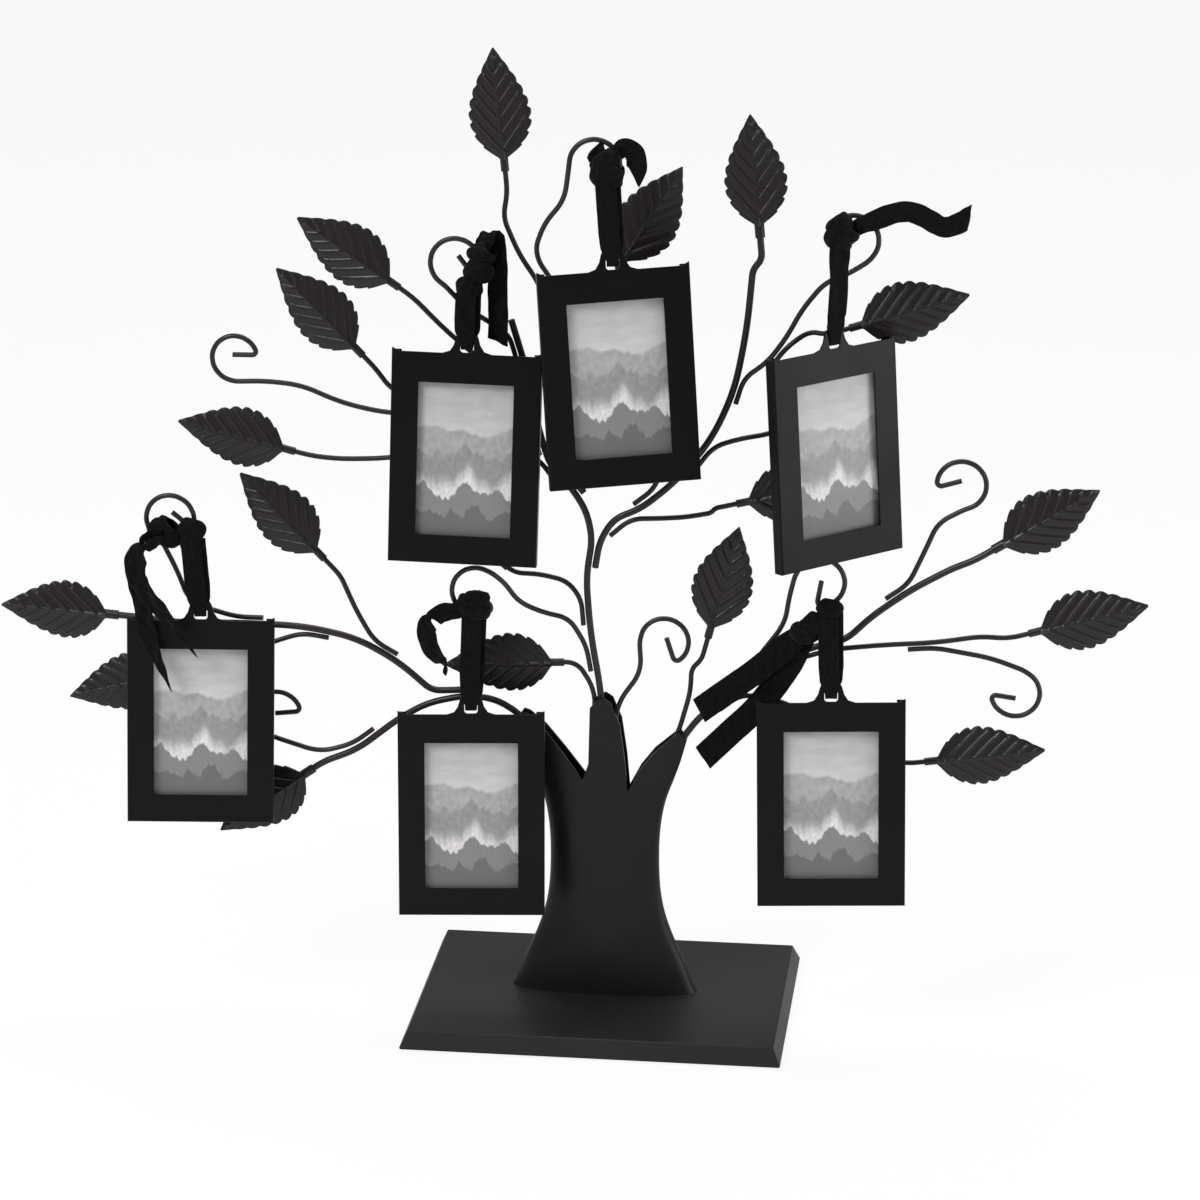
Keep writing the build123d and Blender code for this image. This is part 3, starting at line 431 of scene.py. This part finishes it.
def make_leaf(name, base_x, base_z, tip_x, tip_z, base_forward, tip_forward, stem_radius):
    """A stamped leaf round its solid blade: z = puff |sin(pi q)|^1.2 - fold |y| + the higher ridge.

    The veins are the whole numbers of q = rate (x - |y| / tan(vein angle)) / length - start - curve t^2,
    where t = y / half. Each vein and the midrib is a ridge, height * exp(-(distance / spread)^2). The back
    has the same fold, and a groove behind the midrib.
    """
    share, half = leaf_outline()
    t = np.linspace(-1, 1, leaf_columns)
    x = share[:, None] * leaf_length + np.zeros_like(t)[None, :]
    y = half[:, None] * t[None, :]
    slant = (x - np.abs(y) / math.tan(leaf_vein_angle)) / leaf_length
    q = slant * vein_rate - vein_start - vein_curve * t[None, :] ** 2
    edge = np.clip((half[:, None] - np.abs(y)) / edge_fade, 0, 1)
    middle = np.clip(np.abs(y) / rib_fade, 0, 1)
    off_vein = (q - np.round(q)) * leaf_length / vein_rate * math.sin(leaf_vein_angle)
    on_blade = (q > -0.5) * (q < leaf_vein_count + 0.4)
    vein = vein_height * np.exp(-(off_vein / vein_spread) ** 2) * edge * on_blade
    puff = leaf_puff * np.abs(np.sin(np.pi * q)) ** 1.2 * edge * (0.2 + 0.8 * middle)
    lift = stem_radius + stem_clearance
    fold = -np.abs(y) * math.tan(leaf_fold)
    rib = rib_height * np.exp(-(y / rib_spread) ** 2) * (1 - rib_taper_share * share[:, None])
    front = lift + leaf_sheet + leaf_skin + fold + puff + np.maximum(vein, rib)
    groove = rib_back_depth * np.exp(-(y / rib_back_spread) ** 2)
    back = lift - leaf_skin + fold - 0.5 * (leaf_puff * edge - puff) - groove
    closed = np.minimum(back, front - least_leaf_wall)
    faces = np.stack([x, y, front], axis=-1), np.stack([x, y, closed], axis=-1)[:, ::-1]
    ring = np.concatenate(faces, axis=1)
    tip = crown(tip_x, tip_z, tip_forward)
    along = tip - crown(base_x, base_z, base_forward)
    along /= np.linalg.norm(along)
    base = tip - along * leaf_length
    viewer = np.array([0.0, -1.0, 0.0])
    facing = viewer - along * (viewer @ along)
    facing /= np.linalg.norm(facing)
    axes = np.stack([along, np.cross(facing, along), facing], axis=-1)
    points = ring @ axes.T + base
    piece = grid_mesh(f"leaf_{name}", np.swapaxes(points, 0, 1), closed=True)
    dress(piece, leaf_coat)
    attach(piece, "root")


def new_material(name):
    """Start a material; return it with its node tree and its shader."""
    material = bpy.data.materials.new(name)
    material.use_nodes = True
    shader = material.node_tree.nodes["Principled BSDF"]
    return material, material.node_tree, shader


def set_inputs(node, **values):
    """Set a node's plain inputs; an underscore in a name stands for a space."""
    for name, value in values.items():
        node.inputs[name.replace("_", " ")].default_value = value


def add_noise(tree, place, scale, detail=2.0):
    """Add noise read at a place, and return its output."""
    noise = tree.nodes.new("ShaderNodeTexNoise")
    set_inputs(noise, Scale=scale, Detail=detail)
    tree.links.new(place, noise.inputs["Vector"])
    return noise.outputs["Fac"]


def add_bump(tree, shader, height, strength, distance):
    """Feed a height to the shader's normal as bumps of a given depth."""
    bump = tree.nodes.new("ShaderNodeBump")
    set_inputs(bump, Strength=strength, Distance=distance)
    tree.links.new(height, bump.inputs["Height"])
    tree.links.new(bump.outputs["Normal"], shader.inputs["Normal"])


def grain_group():
    """Slow patches give a roughness between Low and High, and fine grain gives a height for bumps."""
    group = bpy.data.node_groups.new("surface grain", "ShaderNodeTree")
    for name in ("Fine scale", "Patch scale", "Low", "High"):
        group.interface.new_socket(name, in_out="INPUT", socket_type="NodeSocketFloat")
    group.interface.new_socket("Roughness", in_out="OUTPUT", socket_type="NodeSocketFloat")
    group.interface.new_socket("Height", in_out="OUTPUT", socket_type="NodeSocketFloat")
    tree = group.nodes
    start = tree.new("NodeGroupInput")
    end = tree.new("NodeGroupOutput")
    place = tree.new("ShaderNodeTexCoord")
    fine = tree.new("ShaderNodeTexNoise")
    fine.inputs["Detail"].default_value = 3.0
    patches = tree.new("ShaderNodeTexNoise")
    patches.inputs["Detail"].default_value = 5.0
    spread = tree.new("ShaderNodeMapRange")
    for noise, scale in ((fine, "Fine scale"), (patches, "Patch scale")):
        group.links.new(place.outputs["Object"], noise.inputs["Vector"])
        group.links.new(start.outputs[scale], noise.inputs["Scale"])
    group.links.new(patches.outputs["Fac"], spread.inputs["Value"])
    set_inputs(spread, From_Min=0.3, From_Max=0.7)
    group.links.new(start.outputs["Low"], spread.inputs["To Min"])
    group.links.new(start.outputs["High"], spread.inputs["To Max"])
    group.links.new(spread.outputs["Result"], end.inputs["Roughness"])
    group.links.new(fine.outputs["Fac"], end.inputs["Height"])
    return group


grain = grain_group()


def grained(name, colour, fine_scale, patch_scale, rough_low, rough_high, bump_depth, specular,
            metallic=0.0):
    """A finish with slow patches in its gloss, and fine grain in its bumps and colour."""
    material, tree, shader = new_material(name)
    node = tree.nodes.new("ShaderNodeGroup")
    node.node_tree = grain
    set_inputs(node, Fine_scale=fine_scale, Patch_scale=patch_scale, Low=rough_low, High=rough_high)
    tree.links.new(node.outputs["Roughness"], shader.inputs["Roughness"])
    add_bump(tree, shader, node.outputs["Height"], 0.6, bump_depth)
    shade = tree.nodes.new("ShaderNodeMix")
    shade.data_type = "RGBA"
    shade.inputs["A"].default_value = (*colour, 1)
    shade.inputs["B"].default_value = (*[c * 1.35 for c in colour], 1)
    tree.links.new(node.outputs["Height"], shade.inputs["Factor"])
    tree.links.new(shade.outputs["Result"], shader.inputs["Base Color"])
    set_inputs(shader, Metallic=metallic, Specular_IOR_Level=specular)
    return material


def velvet():
    """Cut pile: a rough, nearly black cloth with a soft sheen and worn nap."""
    material, tree, shader = new_material("velvet ribbon")
    place = tree.nodes.new("ShaderNodeUVMap")
    place.uv_map = "UVMap"
    stretch = tree.nodes.new("ShaderNodeMapping")
    set_inputs(stretch, Scale=(3.0, 1.0, 1.0))
    tree.links.new(place.outputs["UV"], stretch.inputs["Vector"])
    nap = add_noise(tree, stretch.outputs["Vector"], 420.0, 6.0)
    colour = tree.nodes.new("ShaderNodeValToRGB")
    colour.color_ramp.elements[0].position = 0.32
    colour.color_ramp.elements[0].color = (0.0014, 0.0014, 0.0015, 1)
    colour.color_ramp.elements[1].position = 0.72
    colour.color_ramp.elements[1].color = (0.0068, 0.0064, 0.0066, 1)
    tree.links.new(nap, colour.inputs["Fac"])
    tree.links.new(colour.outputs["Color"], shader.inputs["Base Color"])
    add_bump(tree, shader, nap, 0.8, 0.00025)
    set_inputs(shader, Roughness=0.92, Specular_IOR_Level=0.12, Sheen_Weight=0.035, Sheen_Roughness=0.45)
    return material


def clear_sheet():
    """Clear plastic: nearly nothing but its gloss, with faint smears in its roughness."""
    material, tree, shader = new_material("clear cover sheet")
    place = tree.nodes.new("ShaderNodeTexCoord")
    smear = add_noise(tree, place.outputs["Object"], 22.0)
    rough = tree.nodes.new("ShaderNodeMapRange")
    set_inputs(rough, To_Min=0.06, To_Max=0.16)
    tree.links.new(smear, rough.inputs["Value"])
    tree.links.new(rough.outputs["Result"], shader.inputs["Roughness"])
    set_inputs(shader, Base_Color=(0.9, 0.9, 0.92, 1), Alpha=0.08)
    return material


def card_back():
    """Grey board with paper fibres."""
    material, tree, shader = new_material("card and paper")
    place = tree.nodes.new("ShaderNodeTexCoord")
    fibre = add_noise(tree, place.outputs["Object"], 900.0, 4.0)
    colour = tree.nodes.new("ShaderNodeValToRGB")
    colour.color_ramp.elements[0].color = (0.030, 0.029, 0.028, 1)
    colour.color_ramp.elements[1].color = (0.062, 0.060, 0.058, 1)
    tree.links.new(fibre, colour.inputs["Fac"])
    tree.links.new(colour.outputs["Color"], shader.inputs["Base Color"])
    set_inputs(shader, Roughness=0.8)
    return material


def math_node(tree, operation, first, second):
    """Add a maths node whose inputs are sockets or numbers, and return its output."""
    node = tree.nodes.new("ShaderNodeMath")
    node.operation = operation
    for index, value in enumerate((first, second)):
        if isinstance(value, (int, float)):
            node.inputs[index].default_value = value
        else:
            tree.links.new(value, node.inputs[index])
    return node.outputs["Value"]


def hills_print():
    """A grey-tone landscape on the print's UVs: each ridge is where v < height + swing (2 noise(u) - 1).

    The ridges come from the far one to the near one: height, swing, scale, grey and how soft the crest is.
    """
    material, tree, shader = new_material("misty hills print")
    place = tree.nodes.new("ShaderNodeUVMap")
    place.uv_map = "UVMap"
    split = tree.nodes.new("ShaderNodeSeparateXYZ")
    tree.links.new(place.outputs["UV"], split.inputs["Vector"])
    u, v = split.outputs["X"], split.outputs["Y"]
    sky = tree.nodes.new("ShaderNodeMapRange")
    set_inputs(sky, From_Min=0.35, From_Max=1.0, To_Min=0.62, To_Max=0.20)
    tree.links.new(v, sky.inputs["Value"])
    stretch = tree.nodes.new("ShaderNodeMapping")
    set_inputs(stretch, Scale=(1.0, 3.2, 1.0))
    tree.links.new(place.outputs["UV"], stretch.inputs["Vector"])
    cloud = add_noise(tree, stretch.outputs["Vector"], 4.0, 7.0)
    haze = math_node(tree, "MULTIPLY", cloud, 0.34)
    colour = math_node(tree, "ADD", sky.outputs["Result"], haze)
    ridges = [(0.66, 0.20, 1.6, 0.34, 0.05), (0.54, 0.24, 2.3, 0.22, 0.04), (0.41, 0.20, 3.1, 0.74, 0.30),
              (0.30, 0.16, 4.6, 0.13, 0.03), (0.17, 0.12, 6.4, 0.020, 0.02)]
    for index, (height, swing, scale, grey, soft) in enumerate(ridges):
        line = tree.nodes.new("ShaderNodeTexNoise")
        line.noise_dimensions = "1D"
        set_inputs(line, Scale=scale, Detail=5.0)
        tree.links.new(math_node(tree, "ADD", u, 3.7 * index), line.inputs["W"])
        rise = math_node(tree, "MULTIPLY", line.outputs["Fac"], 2 * swing)
        crest = math_node(tree, "ADD", rise, height - swing)
        mask = tree.nodes.new("ShaderNodeMapRange")
        mask.interpolation_type = "SMOOTHSTEP"
        tree.links.new(math_node(tree, "SUBTRACT", crest, v), mask.inputs["Value"])
        set_inputs(mask, From_Max=soft * 0.4 + 0.004)
        texture = add_noise(tree, place.outputs["UV"], 16.0 + 9 * index, 8.0)
        speckle = math_node(tree, "MULTIPLY", texture, grey * 1.1)
        tone = math_node(tree, "ADD", speckle, grey * 0.45)
        mix = tree.nodes.new("ShaderNodeMix")
        tree.links.new(mask.outputs["Result"], mix.inputs["Factor"])
        tree.links.new(colour, mix.inputs["A"])
        tree.links.new(tone, mix.inputs["B"])
        colour = mix.outputs["Result"]
    paper = tree.nodes.new("ShaderNodeCombineColor")
    tree.links.new(colour, paper.inputs["Red"])
    tree.links.new(math_node(tree, "MULTIPLY", colour, 0.975), paper.inputs["Green"])
    tree.links.new(math_node(tree, "MULTIPLY", colour, 0.965), paper.inputs["Blue"])
    tree.links.new(paper.outputs["Color"], shader.inputs["Base Color"])
    set_inputs(shader, Roughness=0.42)
    return material


black_coat = grained("black powder coat", (0.0150, 0.0112, 0.0100), 2600.0, 30.0,
                     0.30, 0.42, 0.00003, specular=0.34)
trunk_coat = grained("trunk coat", (0.0058, 0.0048, 0.0046), 2600.0, 30.0,
                     0.32, 0.44, 0.00003, specular=0.24)
frame_coat = grained("frame enamel", (0.0026, 0.0025, 0.0025), 3000.0, 26.0,
                     0.30, 0.38, 0.00001, specular=0.14)
leaf_coat = grained("leaf coat", (0.0100, 0.0078, 0.0072), 2200.0, 60.0,
                    0.28, 0.42, 0.00004, specular=0.34)
board_paint = grained("base board paint", (0.0095, 0.0088, 0.0092), 1800.0, 14.0,
                      0.42, 0.52, 0.00003, specular=0.34)
felt_pad = grained("felt", (0.010, 0.010, 0.011), 3800.0, 120.0, 0.9, 1.0, 0.0003, specular=0.1)
zinc = grained("zinc plate", (0.45, 0.45, 0.46), 2400.0, 90.0,
               0.28, 0.42, 0.00001, specular=0.5, metallic=1.0)
ribbon_cloth = velvet()
clear_cover = clear_sheet()
card = card_back()
landscape = hills_print()


def dress(piece, material):
    """Give a piece one material."""
    piece.data.materials.clear()
    piece.data.materials.append(material)


def material_for(name):
    """Choose a finish by what the piece is."""
    if name == "base_board":
        return board_paint
    if name == "base_felt_pad":
        return felt_pad
    if name == "trunk_screws":
        return zinc
    if name.endswith("_cover"):
        return clear_cover
    if name.endswith("_print"):
        return card
    if name.startswith("trunk_"):
        return trunk_coat
    if name.startswith("leaves_"):
        return leaf_coat
    if name.startswith("frame_") and name.endswith("_shell"):
        return frame_coat
    return black_coat


for name, node in nodes.items():
    dress(node, material_for(name))


def make_print_face(number):
    """The print's picture side, a flat grid just in front of its paper."""
    origin, axes = frame_axes(number)
    middle = -window_top_border - window_height / 2
    x = np.linspace(-print_width / 2, print_width / 2, 5)
    z = np.linspace(middle - print_height / 2, middle + print_height / 2, 7)
    across, up = np.meshgrid(x, z)
    local = np.stack([across, np.full_like(across, print_face_depth), up], axis=-1)
    piece = grid_mesh(f"print_{number}_face", local @ axes.T + origin)
    dress(piece, landscape)
    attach(piece, f"photo_{number}")


for name, row in leaves.items():
    make_leaf(name, *row)

for number in frame_places:
    make_print_face(number)
    strands = make_strands(number)
    dress(strands, ribbon_cloth)
    knot_parts = [make_wrap(number, i, row) for i, row in enumerate(knot_wraps[number])]
    knot_parts += [make_tail(number, i, rows) for i, rows in enumerate(tails[number])]
    for part in knot_parts:
        dress(part, ribbon_cloth)
        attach(part, f"hanger_{number}")
    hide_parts(f"frame_{number}_ribbon_knot")


# Camera, lights and floor
camera_data = bpy.data.cameras.new("camera")
camera_data.lens = camera_lens
camera_data.sensor_width = camera_sensor
camera_data.clip_end = camera_reach
camera = bpy.data.objects.new("camera", camera_data)
camera.location = camera_place
camera.rotation_euler = (math.radians(90 - camera_dip), 0, math.radians(camera_swing))
bpy.context.scene.collection.objects.link(camera)
bpy.context.scene.camera = camera
bpy.context.scene.view_settings.view_transform = "Standard"


def softbox(name, place, target, size, power):
    """An oblong area lamp turned towards a point, with its size in metres and its power in watts."""
    data = bpy.data.lights.new(name, "AREA")
    data.shape = "RECTANGLE"
    data.size, data.size_y = size
    data.energy = power
    lamp = bpy.data.objects.new(name, data)
    lamp.location = place
    lamp.rotation_euler = (Vector(target) - Vector(place)).to_track_quat("-Z", "Y").to_euler()
    bpy.context.scene.collection.objects.link(lamp)


softbox("key softbox", (-1.0, -1.1, 1.6), (0, 0, 0.25), (0.7, 0.7), 24.0)
softbox("side softbox", (1.4, -0.32, 0.47), (0.1, 0, 0.3), (0.7, 0.9), 8.0)
softbox("top softbox", (0.1, 0.5, 1.7), (0, 0, 0.2), (1.2, 0.5), 12.0)


def make_room():
    """A dim white room that lights the tree; camera and transmission rays see it plain white."""
    world = bpy.data.worlds.new("white room")
    bpy.context.scene.world = world
    world.use_nodes = True
    tree = world.node_tree
    tree.nodes.clear()
    rays = tree.nodes.new("ShaderNodeLightPath")
    seen = math_node(tree, "MAXIMUM", rays.outputs["Is Camera Ray"], rays.outputs["Is Transmission Ray"])
    choose = tree.nodes.new("ShaderNodeMixShader")
    tree.links.new(seen, choose.inputs["Fac"])
    for index, strength in enumerate((room_strength, 1.0), start=1):
        glow = tree.nodes.new("ShaderNodeBackground")
        set_inputs(glow, Color=(1, 1, 1, 1), Strength=strength)
        tree.links.new(glow.outputs["Background"], choose.inputs[index])
    out = tree.nodes.new("ShaderNodeOutputWorld")
    tree.links.new(choose.outputs["Shader"], out.inputs["Surface"])


def make_floor():
    """A wide pale floor that keeps a faint shadow, and is mostly plain white to the camera."""
    across, back = np.meshgrid([-floor_reach, floor_reach], [-floor_reach, floor_reach])
    floor = grid_mesh("floor", np.stack([across, back, np.zeros_like(across)], axis=-1))
    material, tree, shader = new_material("pale floor")
    set_inputs(shader, Base_Color=(0.9, 0.9, 0.9, 1), Roughness=0.9)
    path = tree.nodes.new("ShaderNodeLightPath")
    share = math_node(tree, "MULTIPLY", path.outputs["Is Camera Ray"], floor_glow_share)
    glow = tree.nodes.new("ShaderNodeEmission")
    set_inputs(glow, Strength=1.0)
    both = tree.nodes.new("ShaderNodeMixShader")
    tree.links.new(share, both.inputs["Fac"])
    tree.links.new(shader.outputs["BSDF"], both.inputs[1])
    tree.links.new(glow.outputs["Emission"], both.inputs[2])
    tree.links.new(both.outputs["Shader"], tree.nodes["Material Output"].inputs["Surface"])
    dress(floor, material)


make_room()
make_floor()
